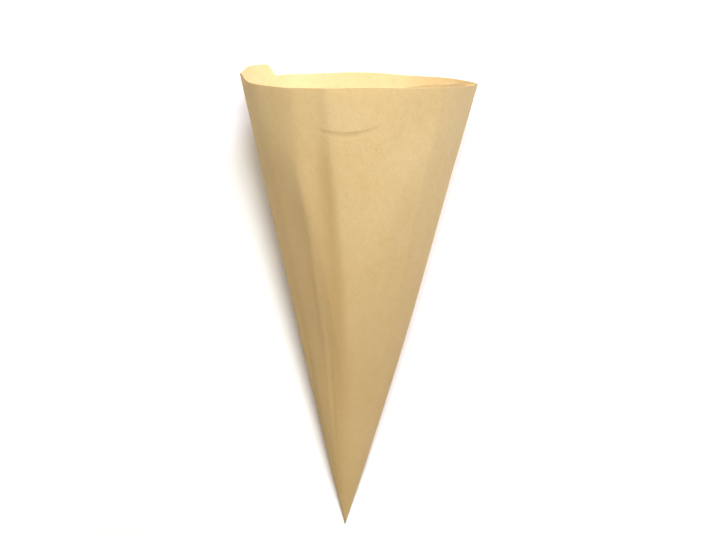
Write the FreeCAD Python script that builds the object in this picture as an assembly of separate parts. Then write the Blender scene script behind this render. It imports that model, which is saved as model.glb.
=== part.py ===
# Paper coffee filter: one half-moon sheet of filter paper, folded twice into four plies and opened into a
# cone. Three plies make the front wall and one ply makes the back wall, and the outermost ply laps round
# the left crease. The filter lies on the flat of its back wall, tip towards -Y and mouth towards +Y.
import FreeCAD
import Part
import math
import os

doc = FreeCAD.newDocument("coffee_filter")

# Driving dimensions, in millimetres and degrees
DIMENSIONS = [
    ("sheet_radius", 165.0, "slant length from the folded point to the cut edge"),
    ("sheet_angle", 171.0, "angle of the flat half-moon sheet at that point"),
    ("edge_offset", 2.5, "how far the folded point lies off the centre of the cut arc"),
    ("paper_thickness", 0.21, "one ply of crepe filter paper"),
    ("ply_gap", 0.08, "air between plies that lie together"),
    ("corner_round", 4.0, "rounding of the two corners of the half moon"),
    ("wall_radius", 40.7, "inner radius of the round wall at the mouth"),
    ("flat_cut", 3.2, "how far the flat of the back wall lies inside the round wall, at the mouth"),
    ("flat_bend", 18.0, "radius of the bend at each side of that flat"),
    ("crease_radius", 1.0, "inner radius of a crease at the mouth"),
    ("right_reach", 1.2, "how far the right fold stands out of the round wall"),
    ("left_reach", 0.8, "how far the left fold stands out of the round wall"),
    ("soft_reach", 0.45, "how far the two soft creases of the front stand out"),
    ("soft_right_angle", 45.0, "soft crease of the front, counted from the right fold"),
    ("soft_left_angle", 126.0, "soft crease of the front, counted from the right fold"),
    ("lap_width", 30.0, "outer ply beyond the left fold, at the mouth"),
    ("crease_tuck", 0.4, "how far the inner crease stays back from the right fold"),
    ("settle_width", 16.0, "length of wall over which a ply comes down a step"),
    ("tip_length", 6.0, "length of the pressed point where the plies merge"),
]

sizes = doc.addObject("Spreadsheet::Sheet", "sizes")
sizes.set("A1", "name")
sizes.set("B1", "value")
sizes.set("C1", "meaning")
for row, (alias, value, meaning) in enumerate(DIMENSIONS, start=2):
    sizes.set(f"A{row}", alias)
    sizes.set(f"B{row}", str(value))
    sizes.set(f"C{row}", meaning)
    sizes.setAlias(f"B{row}", alias)
doc.recompute()


def size(alias):
    """Value of one driving dimension."""
    return float(sizes.get(alias))


RADIUS = size("wall_radius")
FLAT_DEPTH = RADIUS - size("flat_cut")
THICKNESS = size("paper_thickness")
GAP = size("ply_gap")
STEP = THICKNESS + GAP
MOUTH_HEIGHT = math.sqrt(size("sheet_radius") ** 2 - RADIUS**2)
TIP_SCALE = size("tip_length") / MOUTH_HEIGHT
STEP_LENGTH = 4.0
STEP_TURN = math.radians(5.0)
NARROWEST = 0.001
FLATNESS = 1e-6


# Wall line: the inner outline of the cone at its mouth, in the plane square to the axis. X points right and
# F to the front. It runs anticlockwise from the right fold as arcs and straight stretches that join smoothly.
def outward(angle):
    """Unit vector of the outward normal at an angle from the right fold."""
    return FreeCAD.Vector(math.cos(angle), math.sin(angle), 0)


def arc(centre, radius, start, end):
    """Arc of the wall line, between two directions of its normal."""
    return {"centre": centre, "radius": radius, "start": start, "end": end, "length": radius * (end - start)}


def straight(first, last, normal):
    """Straight stretch of the wall line."""
    return {"first": first, "last": last, "normal": normal, "length": (last - first).Length}


def crease(angle, reach):
    """A crease: two straight stretches that leave the round wall and meet in a small arc."""
    spread = math.acos(RADIUS / (RADIUS + reach))
    fold_radius = size("crease_radius")
    centre = outward(angle) * ((RADIUS - fold_radius) / math.cos(spread))
    before, after = outward(angle - spread), outward(angle + spread)
    rise = straight(before * RADIUS, centre + before * fold_radius, angle - spread)
    fall = straight(centre + after * fold_radius, after * RADIUS, angle + spread)
    halves = [
        arc(centre, fold_radius, angle - spread, angle),
        arc(centre, fold_radius, angle, angle + spread),
    ]
    return [rise, halves[0], halves[1], fall], spread


def wall_line():
    """Stretches of the wall line, with the place of the left fold."""
    axis = FreeCAD.Vector(0, 0, 0)
    right_fold, right_spread = crease(0.0, size("right_reach"))
    left_fold, left_spread = crease(math.pi, size("left_reach"))
    soft_right_at = math.radians(size("soft_right_angle"))
    soft_left_at = math.radians(size("soft_left_angle"))
    soft_right, soft_spread = crease(soft_right_at, size("soft_reach"))
    soft_left, _ = crease(soft_left_at, size("soft_reach"))
    bend = size("flat_bend")
    bend_depth = FLAT_DEPTH - bend
    flat_half = math.sqrt((RADIUS - bend) ** 2 - bend_depth**2)
    bend_turn = math.atan2(bend_depth, flat_half)
    left_centre = FreeCAD.Vector(-flat_half, -bend_depth, 0)
    right_centre = FreeCAD.Vector(flat_half, -bend_depth, 0)
    down = 1.5 * math.pi
    full = 2 * math.pi
    front = (
        right_fold[2:]
        + [arc(axis, RADIUS, right_spread, soft_right_at - soft_spread)]
        + soft_right
        + [arc(axis, RADIUS, soft_right_at + soft_spread, soft_left_at - soft_spread)]
        + soft_left
        + [arc(axis, RADIUS, soft_left_at + soft_spread, math.pi - left_spread)]
        + left_fold[:2]
    )
    back_left = left_fold[2:] + [
        arc(axis, RADIUS, math.pi + left_spread, math.pi + bend_turn),
        arc(left_centre, bend, math.pi + bend_turn, down),
    ]
    flat = [straight(left_centre + outward(down) * bend, right_centre + outward(down) * bend, down)]
    back_right = [
        arc(right_centre, bend, down, full - bend_turn),
        arc(axis, RADIUS, full - bend_turn, full - right_spread),
    ] + right_fold[:2]
    return front + back_left + flat + back_right, sum(part["length"] for part in front)


STRETCHES, LEFT_FOLD = wall_line()
GIRTH = sum(part["length"] for part in STRETCHES)


def on_wall(place):
    """Point, outward normal and forward tangent of the wall line at a place along it."""
    rest = place % GIRTH
    for part in STRETCHES:
        if rest <= part["length"]:
            break
        rest -= part["length"]
    if "radius" in part:
        angle = part["start"] + rest / part["radius"]
        point = part["centre"] + outward(angle) * part["radius"]
    else:
        angle = part["normal"]
        point = part["first"] + (part["last"] - part["first"]) * (rest / part["length"])
    return point, outward(angle), outward(angle + math.pi / 2)


def places_between(start, end, marks=()):
    """Places along the wall from start to end: every joint of its stretches, the marks and steps between."""
    low, high = min(start, end), max(start, end)
    cuts = [low, high] + [mark for mark in marks if low < mark < high]
    at = math.floor(low / GIRTH) * GIRTH
    while at < high:
        for part in STRETCHES:
            cuts.append(at)
            at += part["length"]
    cuts = sorted(cut for cut in cuts if low <= cut <= high)
    places = [low]
    for first, last in zip(cuts, cuts[1:]):
        if last - first < NARROWEST:
            continue
        turned = on_wall(first + NARROWEST / 4)[1].getAngle(on_wall(last - NARROWEST / 4)[1])
        pieces = max(math.ceil((last - first) / STEP_LENGTH), math.ceil(turned / STEP_TURN))
        places += [first + (last - first) * i / pieces for i in range(1, pieces + 1)]
    return places if start < end else places[::-1]


def settle(share):
    """Smooth step from 0 to 1."""
    share = min(1.0, max(0.0, share))
    return share * share * (3 - 2 * share)


# The sheet's way round the cone. A station is a line of the sheet from its folded point to its cut edge:
# its place on the wall, the height of its inner and outer face above the wall line, a shift along the wall
# for each face, and the distance along the cut edge from the free edge of the lap.
WIDTH = math.radians(size("sheet_angle")) * size("sheet_radius")
LAP_END = LEFT_FOLD + size("lap_width")
TURN_AT = size("crease_radius") * math.acos(RADIUS / (RADIUS + size("right_reach")))
TURN_CUT = LAP_END + GIRTH - TURN_AT
TUCK_END = TURN_AT + 2 * size("settle_width")
MIDDLE_END = WIDTH - TURN_CUT + TURN_AT
ROUND_STEPS = 8


def tuck(place):
    """How far the inner plies are drawn back from the right fold, fading out along the front."""
    return size("crease_tuck") * (1 - settle((place % GIRTH - TURN_AT) / (TUCK_END - TURN_AT)))


def station(place, lift, cut, drawn=0.0):
    """Station of a ply whose inner face lies at lift above the wall line."""
    return {"place": place, "lifts": (lift, lift + THICKNESS), "shifts": (drawn, drawn), "cut": cut}


def outer_lift(place):
    """Height of the outer ply, which steps down past the middle ply's edge and past the right fold."""
    width = size("settle_width")
    past_middle = settle((place - MIDDLE_END) / width)
    past_right = settle(-place / width)
    return STEP * (2 - past_middle - 2 * past_right)


def towards_edge(start, free_edge, marks=()):
    """Places from start to a free edge of the sheet, close together at its rounded corner."""
    bend = free_edge - math.copysign(size("corner_round"), free_edge - start)
    corner = [bend + (free_edge - bend) * i / ROUND_STEPS for i in range(1, ROUND_STEPS + 1)]
    return places_between(start, bend, marks) + corner


def outer_ply():
    """The lap, the outer front ply and the step down to the back wall."""
    width = size("settle_width")
    places = towards_edge(LEFT_FOLD, LAP_END)[::-1]
    places += places_between(LEFT_FOLD, -width, [MIDDLE_END, MIDDLE_END + width, 0.0])[1:]
    return [station(place, outer_lift(place), LAP_END - place) for place in places]


def inner_ply():
    """The back wall, with its flat, and the inner front ply as far as its crease at the right."""
    marks = [LAP_END - GIRTH, LEFT_FOLD - GIRTH, TUCK_END - GIRTH]
    places = places_between(-size("settle_width"), TURN_AT - GIRTH, marks)[1:]
    return [station(place, 0.0, LAP_END - place, tuck(place)) for place in places]


def right_crease():
    """The crease that turns the inner ply back into the middle ply."""
    centre = THICKNESS + GAP / 2
    radii = (GAP / 2 + THICKNESS, GAP / 2)
    turn = []
    for i in range(1, ROUND_STEPS + 1):
        angle = math.pi * i / ROUND_STEPS
        turn.append(
            {
                "place": TURN_AT,
                "lifts": tuple(centre - radius * math.cos(angle) for radius in radii),
                "shifts": tuple(tuck(TURN_AT) - radius * math.sin(angle) for radius in radii),
                "cut": TURN_CUT,
            }
        )
    return turn


def middle_ply():
    """The middle front ply, from the crease to the second free edge of the sheet."""
    ply = []
    for place in towards_edge(TURN_AT, MIDDLE_END, [TUCK_END])[1:]:
        entry = station(place, STEP, TURN_CUT + place - TURN_AT, tuck(place))
        entry["lifts"] = entry["lifts"][::-1]
        ply.append(entry)
    return ply


def cut_edge(cut):
    """Distance from the folded point to the cut edge of the sheet, with the sheet's corners rounded."""
    base = size("sheet_radius")
    length = base + size("edge_offset") * math.cos(cut / base)
    reach = size("corner_round")
    inset = max(0.0, min(cut, WIDTH - cut))
    if inset < reach:
        length -= reach * (1 - inset / reach) ** 2
    return length


def face_point(entry, side, scale):
    """Point of one face of the sheet, at a share of the mouth's distance from the folded point."""
    point, normal, tangent = on_wall(entry["place"])
    flat = point * scale + normal * entry["lifts"][side] + tangent * entry["shifts"][side]
    return FreeCAD.Vector(flat.x, MOUTH_HEIGHT * scale, flat.y)


def mouth_scale(entry):
    """Scale at which a station of the sheet reaches its cut edge."""
    return cut_edge(entry["cut"]) / math.hypot(on_wall(entry["place"])[0].Length, MOUTH_HEIGHT)


def flat_patch(points):
    """Faces over three or four points: one where they lie in a plane, else two triangles."""
    if len(points) == 4:
        first, second, third = (point - points[0] for point in points[1:])
        if abs(first.cross(second).normalize().dot(third)) > FLATNESS:
            return flat_patch(points[:3]) + flat_patch([points[0], points[2], points[3]])
    return [Part.Face(Part.makePolygon(points + points[:1]))]


def folded_sheet():
    """The whole sheet. Paper bends one way only, so each strip between two stations is flat."""
    stations = outer_ply() + inner_ply() + right_crease() + middle_ply()
    low = [[face_point(entry, side, TIP_SCALE) for entry in stations] for side in (0, 1)]
    high = [[face_point(entry, side, mouth_scale(entry)) for entry in stations] for side in (0, 1)]
    faces = []
    for i in range(len(stations) - 1):
        for side in (0, 1):
            faces += flat_patch([low[side][i], low[side][i + 1], high[side][i + 1], high[side][i]])
        faces += flat_patch([high[0][i], high[0][i + 1], high[1][i + 1], high[1][i]])
    for i in (0, -1):
        faces += flat_patch([low[0][i], high[0][i], high[1][i], low[1][i]])
    under_lap = min(range(len(stations)), key=lambda i: abs(stations[i]["cut"] - GIRTH))
    floor = low[0] + low[1][: under_lap - 1 : -1]
    faces.append(Part.Face(Part.makePolygon(floor + floor[:1])))
    outline = low[1][: under_lap + 1] + [low[0][0]]
    point = FreeCAD.Vector(0, 0, -THICKNESS)
    for first, last in zip(outline, outline[1:] + outline[:1]):
        faces += flat_patch([point, first, last])
    shell = Part.makeShell(faces)
    shell.sewShape()
    solid = Part.makeSolid(shell)
    if solid.Volume < 0:
        solid.reverse()
    return solid


# The filter lies on the flat of its back wall, with its origin under the middle of its outer box.
filter_paper = doc.addObject("Part::Feature", "coffee_filter")
filter_paper.Label = "coffee_filter"
filter_paper.Shape = folded_sheet()
rise = math.degrees(math.atan2(FLAT_DEPTH, MOUTH_HEIGHT))
filter_paper.Placement = FreeCAD.Placement(
    FreeCAD.Vector(0, 0, 0), FreeCAD.Rotation(FreeCAD.Vector(1, 0, 0), rise)
)
box = filter_paper.Shape.BoundBox
filter_paper.Placement.Base = FreeCAD.Vector(-box.Center.x, -box.Center.y, -box.ZMin)
doc.recompute()

for item in doc.Objects:
    if "Invalid" in item.State or "Error" in item.State:
        raise RuntimeError(f"{item.Label} failed: {item.State}")
if filter_paper.Shape.isNull() or not filter_paper.Shape.isValid():
    raise RuntimeError("coffee_filter has no valid shape")

os.makedirs("parts", exist_ok=True)
filter_paper.Shape.exportStep(f"parts/{filter_paper.Label}.step")
sheet_area = WIDTH * size("sheet_radius") / 2
print("girth", round(GIRTH, 2), "middle ply ends at", round(MIDDLE_END, 2), "of", round(LEFT_FOLD, 2))
print("axis rises", round(rise, 2), "degrees from the flat of the back wall")
print("sheet area", round(sheet_area), "solid volume", round(filter_paper.Shape.Volume, 1))
print("box", filter_paper.Shape.BoundBox)
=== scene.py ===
import math

import bmesh
import bpy
from mathutils import Matrix, Vector


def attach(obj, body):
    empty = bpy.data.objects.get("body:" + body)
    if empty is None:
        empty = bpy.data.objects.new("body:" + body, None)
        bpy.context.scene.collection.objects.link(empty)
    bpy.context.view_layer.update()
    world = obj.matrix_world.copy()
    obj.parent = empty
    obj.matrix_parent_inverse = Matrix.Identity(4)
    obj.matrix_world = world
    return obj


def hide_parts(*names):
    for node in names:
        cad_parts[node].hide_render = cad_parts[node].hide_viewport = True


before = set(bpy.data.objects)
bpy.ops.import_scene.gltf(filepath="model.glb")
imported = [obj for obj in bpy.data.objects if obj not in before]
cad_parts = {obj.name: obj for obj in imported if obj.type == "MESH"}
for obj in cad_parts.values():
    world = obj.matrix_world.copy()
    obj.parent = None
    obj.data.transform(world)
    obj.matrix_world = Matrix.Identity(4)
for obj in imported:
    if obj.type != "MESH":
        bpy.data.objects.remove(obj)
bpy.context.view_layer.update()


# Folded sheet: one half moon of natural brown filter paper, folded in half and in half again and opened into
# a cone. The paper is a thin web of long softwood fibres, a little uneven and a little creped. It holds by
# its folds alone: nothing is glued. Sizes are in millimetres, and places run along the wall at the mouth.
SLANT = 165.0  # from the folded point to the cut edge
RADIUS = 40.7  # of the wall at the mouth
HEIGHT = math.sqrt(SLANT**2 - RADIUS**2)
THICKNESS = 0.21
PITCH = 0.29  # from one ply to the next
SETTLE = 16.0  # run over which the plies come down beside the right fold
FLAT_CUT = 3.2  # how far the flat of the back wall lies inside the round wall
FOLD_STAND = 1.2  # how far the right fold stands out of the round wall
LAP = 30.0
SHEET = math.radians(171.0) * SLANT  # length of the cut edge


def wall_line():
    """Stretches of the wall line, anticlockwise from the right fold, and its whole length.

    Each stretch has the place where it starts, its length, its first point, the direction that it faces
    there in radians, and its radius, which is None where the wall is straight.
    """
    right, left, soft = (math.acos(RADIUS / (RADIUS + stand)) for stand in (FOLD_STAND, 0.8, 0.8))
    half, full = math.pi, 2 * math.pi
    fold_bend, flat_corner = 1.0, 18.0
    flat_depth = RADIUS - FLAT_CUT - flat_corner
    flat_half = math.sqrt((RADIUS - flat_corner) ** 2 - flat_depth**2)
    flat_turn = math.atan2(flat_depth, flat_half)

    def run(radius, reach):
        """Straight run between the round wall and a bend."""
        return None, (RADIUS - radius) * math.tan(reach)

    def crease(radius, angle):
        """Round wall up to a soft crease, and the crease between its two straight runs."""
        return [(RADIUS, angle - soft), run(radius, soft), (radius, angle + soft), run(radius, soft)]

    plan = [(fold_bend, right), run(fold_bend, right)]
    plan += crease(4.0, math.radians(45.0)) + crease(14.0, math.radians(126.0))
    plan += [(RADIUS, half - left), run(fold_bend, left), (fold_bend, half)]
    plan += [(fold_bend, half + left), run(fold_bend, left)]
    plan += [(RADIUS, half + flat_turn), (flat_corner, 1.5 * half), (None, 2 * flat_half)]
    plan += [(flat_corner, full - flat_turn), (RADIUS, full - right), run(fold_bend, right)]
    plan += [(fold_bend, full)]
    found = []
    point = Vector(((RADIUS - fold_bend) / math.cos(right) + fold_bend, 0.0))
    facing, place = 0.0, 0.0
    for radius, value in plan:
        end = facing if radius is None else value
        length = value if radius is None else radius * (end - facing)
        found.append((place, length, point.copy(), facing, radius))
        if radius is None:
            point += Vector((-math.sin(facing), math.cos(facing))) * length
        else:
            point += radius * Vector((math.cos(end) - math.cos(facing), math.sin(end) - math.sin(facing)))
        place += length
        facing = end
    return found, place


stretches, girth = wall_line()
left_fold = next(start for start, length, point, facing, radius in stretches if facing == math.pi)
lap_end = left_fold + LAP
turn_at = math.acos(RADIUS / (RADIUS + FOLD_STAND))
turn_cut = lap_end + girth - turn_at
middle_end = SHEET - turn_cut + turn_at


def on_wall(place):
    """Point and outward normal of the wall line."""
    place %= girth
    start, length, point, facing, radius = [s for s in stretches if s[0] <= place][-1]
    run = place - start
    if radius is None:
        point = point + Vector((-math.sin(facing), math.cos(facing))) * run
    else:
        end = facing + run / radius
        swing = Vector((math.cos(end) - math.cos(facing), math.sin(end) - math.sin(facing)))
        point, facing = point + radius * swing, end
    return point, Vector((math.cos(facing), math.sin(facing)))


def rising(value, low, high):
    """0 below low and 1 above high, with a soft step between them."""
    share = min(1.0, max(0.0, (value - low) / (high - low)))
    return share * share * (3 - 2 * share)


def falling(value, low, high):
    """1 below low and 0 above high, with a soft step between them."""
    return 1 - rising(value, low, high)


def outer_lift(place):
    """Height of the outer ply, which comes down past the middle ply's edge and past the right fold."""
    past_middle = rising(place, middle_end, middle_end + 7.0)
    return PITCH * (2 - past_middle - 2 * rising(-place, 0.0, SETTLE))


def tuck(place):
    """How far the inner plies are drawn back from the right fold."""
    return 0.4 * falling(place % girth, turn_at, turn_at + 2 * SETTLE)


def places(first, last):
    """Places along the wall, close together at each fold and at a free edge."""
    low, high = min(first, last), max(first, last)
    marks = {low, high}
    for lap in (-girth, 0.0):
        for start, length, point, facing, radius in stretches:
            count = 2 if radius is not None and radius < 10.0 else math.ceil(length / 1.5)
            marks.update(start + lap + length * i / count for i in range(count + 1))
    for end in (lap_end, middle_end):
        marks.update(end - 4.0 + 0.5 * i for i in range(9))
    inside = sorted(mark for mark in marks if low <= mark <= high)
    kept = [inside[0]]
    kept += [mark for before, mark in zip(inside, inside[1:]) if mark - before > 0.02]
    return kept if first < last else kept[::-1]


# The lines from the folded point to the cut edge, in the order of the sheet: the place of each on the wall,
# its lift above the wall, its shift along it, and how far along the cut edge it is. The lap and the outer
# ply come first, then the back wall and the inner ply, the inner crease, and the middle ply.
lines = [(place, outer_lift(place), 0.0, lap_end - place) for place in places(lap_end, -SETTLE)]
lines += [(place, 0.0, tuck(place), lap_end - place) for place in places(-SETTLE, turn_at - girth)[1:]]
for i in range(1, 9):
    swing = math.pi * i / 8
    shift = tuck(turn_at) - PITCH / 2 * math.sin(swing)
    lines.append((turn_at, PITCH / 2 * (1 - math.cos(swing)), shift, turn_cut))
for place in places(turn_at, middle_end)[1:]:
    lines.append((place, PITCH, tuck(place), turn_cut + place - turn_at))


def cut_edge(cut):
    """Slant length from the folded point to the cut edge.

    The edge droops in front of the left fold, stands up at the lap, and at the right the inner ply's edge
    looks out a little past the outer one's.
    """
    length = SLANT + 2.5 * math.cos(cut / SLANT)
    length += 5.0 * rising(cut, 340.0, 380.0) * falling(cut, 388.0, 412.0)
    length -= 2.4 * rising(cut, 31.0, 46.0) * (1 - 0.85 * rising(cut, 60.0, 105.0))
    length += 1.4 * falling(cut, 14.0, 29.0)
    length += 0.05 * math.sin(cut * 0.21) + 0.02 * math.sin(cut * 0.53 + 1.0)
    inset = max(0.0, min(cut, SHEET - cut))
    if inset < 4.0:
        length -= 4.0 * (1 - inset / 4.0) ** 2
    return length


def front_step(slant):
    """Where the soft step in the front lies, in degrees from the front's middle.

    At the mouth it is beside the middle ply's edge, and further down it drifts to the right of it.
    """
    return -18.5 + 0.12 * (SLANT - slant)


def back_ripple(place, slant):
    """Slow ripples beside the flat of the back wall."""
    middle = abs((place - left_fold) / (girth - left_fold) - 0.5)
    quiet = rising(middle, 0.16, 0.40) * rising(0.5 - middle, 0.0, 0.12)
    return 0.15 * quiet * slant / SLANT * math.sin(place * 0.21 + slant * 0.02)


def right_swell(place, slant):
    """The wall swells a little beside the right fold, halfway up."""
    return 0.9 * rising(slant, 10.0, 70.0) * falling(slant, 75.0, 145.0) * falling(abs(place), 4.0, 34.0)


def front_facets(place, slant):
    """Two soft ridges, a shallow hollow towards the left fold, and the soft step."""
    facing = 90.0 - 180.0 * place / left_fold
    per_degree = RADIUS * slant / SLANT * math.pi / 180.0
    amount = 0.12 * math.sin(place * 0.29 + 0.5) * slant / SLANT
    amount += 0.07 * math.sin(place * 0.55 + slant * 0.030) * (slant / SLANT) ** 2

    off_ridge = (facing - 15.5 - 0.50 * max(0.0, slant - 98.0)) * per_degree
    reach = rising(slant, 50.0, 90.0) * falling(slant, 130.0, 162.0)
    amount += 0.75 * reach * math.exp(-((off_ridge / 8.0) ** 2))

    ridge = -18.8 - 0.37 * (slant - 80.0)
    off_ridge = (facing - ridge) * per_degree
    reach = rising(slant, 35.0, 75.0) * falling(slant, 120.0, 155.0)
    amount += 0.65 * reach * math.exp(-((off_ridge / 7.0) ** 2))
    past_ridge = min(1.0, max(0.0, (ridge - facing) / (ridge + 90.0)))
    amount -= 1.8 * reach * math.sin(math.pi * past_ridge)

    past_step = (front_step(slant) - facing) * per_degree
    step = rising(past_step, -2.5, 3.5) * falling(past_step, 6.0, 32.0)
    return amount - 0.95 * rising(slant, 25.0, 85.0) * step


def sway(place, slant):
    """How far the handled paper stands off the wall line, the same for every ply at that place."""
    place %= girth
    if place > left_fold:
        return back_ripple(place, slant) + right_swell(place - girth, slant)
    inside = rising(place, 0.0, 9.0) * rising(left_fold - place, 0.0, 9.0)
    return inside * front_facets(place, slant) + right_swell(place, slant)


# The cone is made along the Y axis and then leans back until the flat of its back wall lies on the floor.
rise = math.atan2(RADIUS - FLAT_CUT, HEIGHT)
lie = Matrix.Translation((-0.2004, -82.8337, 0.20445)) @ Matrix.Rotation(rise, 4, "X")
rows = 82
mesh = bmesh.new()
uv = mesh.loops.layers.uv.new("flat sheet")
bmesh.ops.create_grid(mesh, x_segments=len(lines) - 1, y_segments=rows, size=0.5)
flat_place = {}
foot = []
for vert in mesh.verts:
    place, lift, shift, cut = lines[round((vert.co.x + 0.5) * (len(lines) - 1))]
    share = round((vert.co.y + 0.5) * rows) / rows
    length = share * cut_edge(cut)
    point, normal = on_wall(place)
    tangent = Vector((-normal.y, normal.x))
    scale = length / math.hypot(point.length, HEIGHT)
    opened = rising(length, 0.0, 24.0)
    stand = lift + THICKNESS / 2 + sway(place, length)
    spot = point * scale + (normal * stand + tangent * shift) * opened
    vert.co = lie @ Vector((spot.x, HEIGHT * scale, spot.y)) * 0.001
    flat_place[vert] = Vector((math.cos(cut / SLANT), math.sin(cut / SLANT))) * length * 0.001
    if share == 0.0:
        foot.append(vert)
for face in mesh.faces:
    face.smooth = True
    for loop in face.loops:
        loop[uv].uv = flat_place[loop.vert]
bmesh.ops.pointmerge(mesh, verts=foot, merge_co=foot[0].co)
bmesh.ops.dissolve_degenerate(mesh, edges=mesh.edges, dist=1e-9)
for edge in mesh.edges:
    edge.smooth = not edge.is_boundary
sheet_data = bpy.data.meshes.new("folded_sheet")
mesh.to_mesh(sheet_data)
mesh.free()
sheet = bpy.data.objects.new("folded_sheet", sheet_data)
bpy.context.collection.objects.link(sheet)
thick = sheet.modifiers.new("thickness", "SOLIDIFY")
thick.thickness = THICKNESS * 0.001
thick.offset = 0.0


class Field:
    """A value or a colour of a node tree that can be used in a formula."""

    def __init__(self, tree, socket):
        self.tree = tree
        self.socket = socket

    def put(self, socket, value):
        if isinstance(value, Field):
            self.tree.links.new(value.socket, socket)
        else:
            socket.default_value = value

    def node(self, kind, settings, sockets, output=0):
        made = self.tree.nodes.new(kind)
        for name, value in settings.items():
            setattr(made, name, value)
        for name, value in sockets.items():
            self.put(made.inputs[name], value)
        return Field(self.tree, made.outputs[output])

    def maths(self, operation, *values):
        sockets = dict(enumerate(values))
        return self.node("ShaderNodeMath", {"operation": operation}, sockets)

    def __add__(self, other):
        return self.maths("ADD", self, other)

    def __radd__(self, other):
        return self.maths("ADD", other, self)

    def __sub__(self, other):
        return self.maths("SUBTRACT", self, other)

    def __rsub__(self, other):
        return self.maths("SUBTRACT", other, self)

    def __mul__(self, other):
        return self.maths("MULTIPLY", self, other)

    def __rmul__(self, other):
        return self.maths("MULTIPLY", other, self)

    def __truediv__(self, other):
        return self.maths("DIVIDE", self, other)

    def __rtruediv__(self, other):
        return self.maths("DIVIDE", other, self)

    def __pow__(self, other):
        return self.maths("POWER", self, other)

    def between(self, low, high):
        """0 below low and 1 above high, with a soft step between them."""
        sockets = {"Value": self, "From Min": low, "From Max": high}
        return self.node("ShaderNodeMapRange", {"interpolation_type": "SMOOTHSTEP"}, sockets)

    def blend(self, low, high):
        """Colour low where this mask is 0, and colour high where it is 1."""
        return self.node("ShaderNodeMix", {"data_type": "RGBA"}, {0: self, 6: low, 7: high}, 2)

    def noise(self, scale, detail, roughness, distortion=0.0):
        sockets = {
            "Vector": self,
            "Scale": scale,
            "Detail": detail,
            "Roughness": roughness,
            "Distortion": distortion,
        }
        return self.node("ShaderNodeTexNoise", {}, sockets)

    def laid(self, turn, along, across):
        """Sheet coordinates turned by some degrees and scaled along and across that direction."""
        sockets = {
            "Vector": self,
            "Rotation": (0.0, 0.0, math.radians(turn)),
            "Scale": (along, across, 1.0),
        }
        return self.node("ShaderNodeMapping", {}, sockets)


# The paper's tint and relief are laid out on the flat sheet, so the fibres turn with it at every fold. The
# tint also carries painted shade beside the soft step, left of it, towards the point and along a wrinkle.
paper = bpy.data.materials.new("filter_paper")
paper.use_nodes = True
tree = paper.node_tree
tree.nodes.clear()
flat = Field(tree, tree.nodes.new("ShaderNodeUVMap").outputs[0])
flat = flat.node("ShaderNodeMapping", {}, {"Vector": flat, "Scale": (1000.0, 1000.0, 1.0)})
across, along = (flat.node("ShaderNodeSeparateXYZ", {}, {"Vector": flat}, axis) for axis in (0, 1))
slant = (across * across + along * along) ** 0.5
turn = flat.maths("ARCTAN2", along, across)

cloud = flat.noise(0.32, 5.0, 0.62)
drift = flat.noise(0.035, 2.0, 0.5)
fibre = (
    flat.laid(18.0, 0.5, 4.2).noise(1.0, 3.0, 0.6, 0.9)
    + flat.laid(-34.0, 0.6, 4.8).noise(1.0, 3.0, 0.6, 0.9)
    + flat.laid(83.0, 0.7, 5.5).noise(1.0, 2.0, 0.6, 0.7)
) / 3.0
crepe = flat.laid(4.0, 0.16, 1.15).noise(1.0, 3.0, 0.55, 0.35)
grain = flat.noise(3.4, 2.0, 0.7)
dark_speck = flat.noise(1.55, 1.0, 0.4, 0.6).between(0.70, 0.80)
pale_speck = flat.laid(40.0, 0.9, 2.2).noise(1.0, 1.0, 0.4, 0.4).between(0.69, 0.80)

folds = (LAP, lap_end, LAP + girth, turn_cut)
worn = sum(1.0 / (1.0 + ((turn - fold / SLANT) * slant / 0.42) ** 2.0) for fold in folds)

step_cut = lap_end - left_fold * (90.0 - front_step(slant)) / 180.0
off_step = (turn - step_cut / SLANT) * slant
# Painted shade: a darker band beside the soft step in the front, standing in for the step's own shading
# where the middle ply's edge lies under the outer ply.
painted_step_shade = off_step.between(-6.5, -3.0) * (1.0 - off_step.between(-2.0, 2.5))
painted_step_shade = painted_step_shade * slant.between(25.0, 90.0) * (1.0 - slant.between(132.0, 150.0))
# Painted shade: the front left of the step is darker, and less so close to the mouth.
painted_shade_left_of_step = (1.0 - off_step.between(-4.0, 3.0)) * (1.0 - 0.6 * slant.between(120.0, 152.0))
# Painted shade: the paper is darker towards the folded point.
painted_shade_near_point = 1.0 - slant.between(60.0, 145.0)

facing = 90.0 - 180.0 * (lap_end - turn * SLANT) / left_fold
off_wrinkle = slant - 149.0 - 0.008 * (facing + 8.0) ** 2.0
wrinkle = off_wrinkle.between(-2.2, -0.2) * (1.0 - off_wrinkle.between(0.0, 1.2))
wrinkle = wrinkle * facing.between(-27.0, -14.0) * (1.0 - facing.between(1.0, 18.0))

tan = (0.785, 0.597, 0.296, 1.0)
tint = (0.30 * cloud.between(0.30, 0.72)).blend(tan, (0.640, 0.430, 0.175, 1.0))
tint = (0.30 * drift.between(0.38, 0.66)).blend(tint, (0.840, 0.660, 0.370, 1.0))
tint = (0.34 * fibre.between(0.50, 0.66)).blend(tint, (0.920, 0.760, 0.480, 1.0))
tint = (0.26 * (1.0 - fibre.between(0.36, 0.50))).blend(tint, (0.540, 0.345, 0.130, 1.0))
tint = (0.45 * dark_speck).blend(tint, (0.330, 0.200, 0.080, 1.0))
tint = (0.40 * pale_speck).blend(tint, (0.950, 0.840, 0.620, 1.0))
tint = (0.35 * worn).blend(tint, (0.900, 0.750, 0.490, 1.0))
# Painted shade: darker along the soft step, on the front left of it, and towards the folded point.
tint = (0.50 * painted_step_shade).blend(tint, (0.560, 0.365, 0.140, 1.0))
tint = (0.36 * painted_shade_left_of_step).blend(tint, (0.620, 0.415, 0.175, 1.0))
tint = (0.42 * painted_shade_near_point).blend(tint, (0.600, 0.400, 0.165, 1.0))
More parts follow.
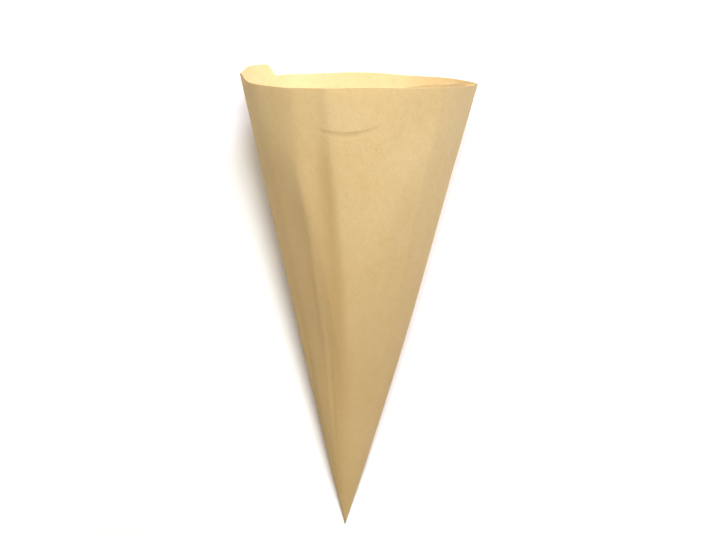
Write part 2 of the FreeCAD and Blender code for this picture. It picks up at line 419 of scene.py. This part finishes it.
# Painted shade along the wrinkle; the same mask also dents the relief below.
tint = (0.24 * wrinkle).blend(tint, (0.480, 0.300, 0.110, 1.0))

relief = 0.55 * cloud + 0.45 * crepe + 0.30 * fibre + 0.10 * grain - 0.70 * wrinkle
bump = flat.node("ShaderNodeBump", {}, {"Strength": 0.55, "Distance": 0.00040, "Height": relief})
skin = flat.node(
    "ShaderNodeBsdfPrincipled",
    {},
    {
        "Base Color": tint,
        "Roughness": 0.86 - 0.10 * fibre,
        "Specular IOR Level": 0.22,
        "Normal": bump,
    },
)
glow = flat.node("ShaderNodeBsdfTranslucent", {}, {"Color": (0.93, 0.72, 0.38, 1.0), "Normal": bump})
mixed = flat.node("ShaderNodeMixShader", {}, {0: 0.16, 1: skin, 2: glow})
tree.links.new(mixed.socket, tree.nodes.new("ShaderNodeOutputMaterial").inputs["Surface"])
sheet_data.materials.append(paper)
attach(sheet, "root")
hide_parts("coffee_filter")


# Floor: a wide white sheet, 0.2 mm below the paper. It keeps the soft shadow under the paper, and the
# camera sees it as plain white further out.
bpy.ops.mesh.primitive_plane_add(size=8.0, location=(0.0, 0.0, -0.0002))
floor = bpy.context.object
floor.name = "floor"
white = bpy.data.materials.new("white_floor")
white.use_nodes = True
matt = white.node_tree.nodes["Principled BSDF"]
matt.inputs["Base Color"].default_value = (0.94, 0.94, 0.94, 1.0)
matt.inputs["Roughness"].default_value = 0.9
matt.inputs["Emission Strength"].default_value = 1.0
floor_point = Field(white.node_tree, white.node_tree.nodes.new("ShaderNodeTexCoord").outputs["Object"])
distance = floor_point.node("ShaderNodeVectorMath", {"operation": "LENGTH"}, {0: floor_point}, 1)
seen = floor_point.node("ShaderNodeLightPath", {}, {})
far_white = (distance.between(0.15, 0.35) * seen).blend((0.0, 0.0, 0.0, 1.0), (1.0, 1.0, 1.0, 1.0))
far_white.put(matt.inputs["Emission Color"], far_white)
floor.data.materials.append(white)


# Light: a soft box overhead, one that looks into the mouth, a warm fill at the left and a plain room.
def soft_box(name, place, target, width, power, colour):
    data = bpy.data.lights.new(name, "AREA")
    data.color = colour
    data.shape = "DISK"
    data.size = width
    data.energy = power
    box = bpy.data.objects.new(name, data)
    box.location = place
    box.rotation_euler = (Vector(target) - Vector(place)).to_track_quat("-Z", "Y").to_euler()
    bpy.context.collection.objects.link(box)


soft_box("key", (0.035, 0.25, 0.75), (0.0, 0.02, 0.03), 0.36, 7.0, (1.0, 1.0, 1.0))
soft_box("mouth", (0.36, 0.78, 0.28), (-0.02, 0.08, 0.02), 0.30, 6.6, (0.98, 0.98, 1.24))
soft_box("fill", (-0.75, -0.25, 0.50), (0.0, 0.0, 0.03), 0.80, 0.2, (1.0, 0.86, 0.62))
room = bpy.data.worlds.new("room")
bpy.context.scene.world = room
room.use_nodes = True
background = room.node_tree.nodes["Background"]
seen = Field(room.node_tree, room.node_tree.nodes.new("ShaderNodeLightPath").outputs["Is Camera Ray"])
seen.put(background.inputs["Color"], seen.blend((1.0, 0.92, 0.76, 1.0), (1.0, 1.0, 1.0, 1.0)))
seen.put(background.inputs["Strength"], 0.22 + 0.78 * seen)


# Camera: looks down on the lying filter, at the angle at which the photograph looks on the upright one.
lens = bpy.data.cameras.new("camera")
lens.lens = 224.0
lens.sensor_width = 36.0
camera = bpy.data.objects.new("camera", lens)
bpy.context.collection.objects.link(camera)
lean, roll = math.radians(6.4), math.radians(1.7)
backward = Vector((0.0, -math.sin(lean), math.cos(lean)))
right = Vector((1.0, 0.0, 0.0))
upward = backward.cross(right)
picture_right = right * math.cos(roll) + upward * math.sin(roll)
picture_up = upward * math.cos(roll) - right * math.sin(roll)
axes = Matrix((picture_right, picture_up, backward)).transposed().to_4x4()
camera.matrix_world = Matrix.Translation(Vector((0.0017, 0.0072, 0.0214)) + 1.6 * backward) @ axes
bpy.context.scene.camera = camera
bpy.context.scene.view_settings.view_transform = "Standard"
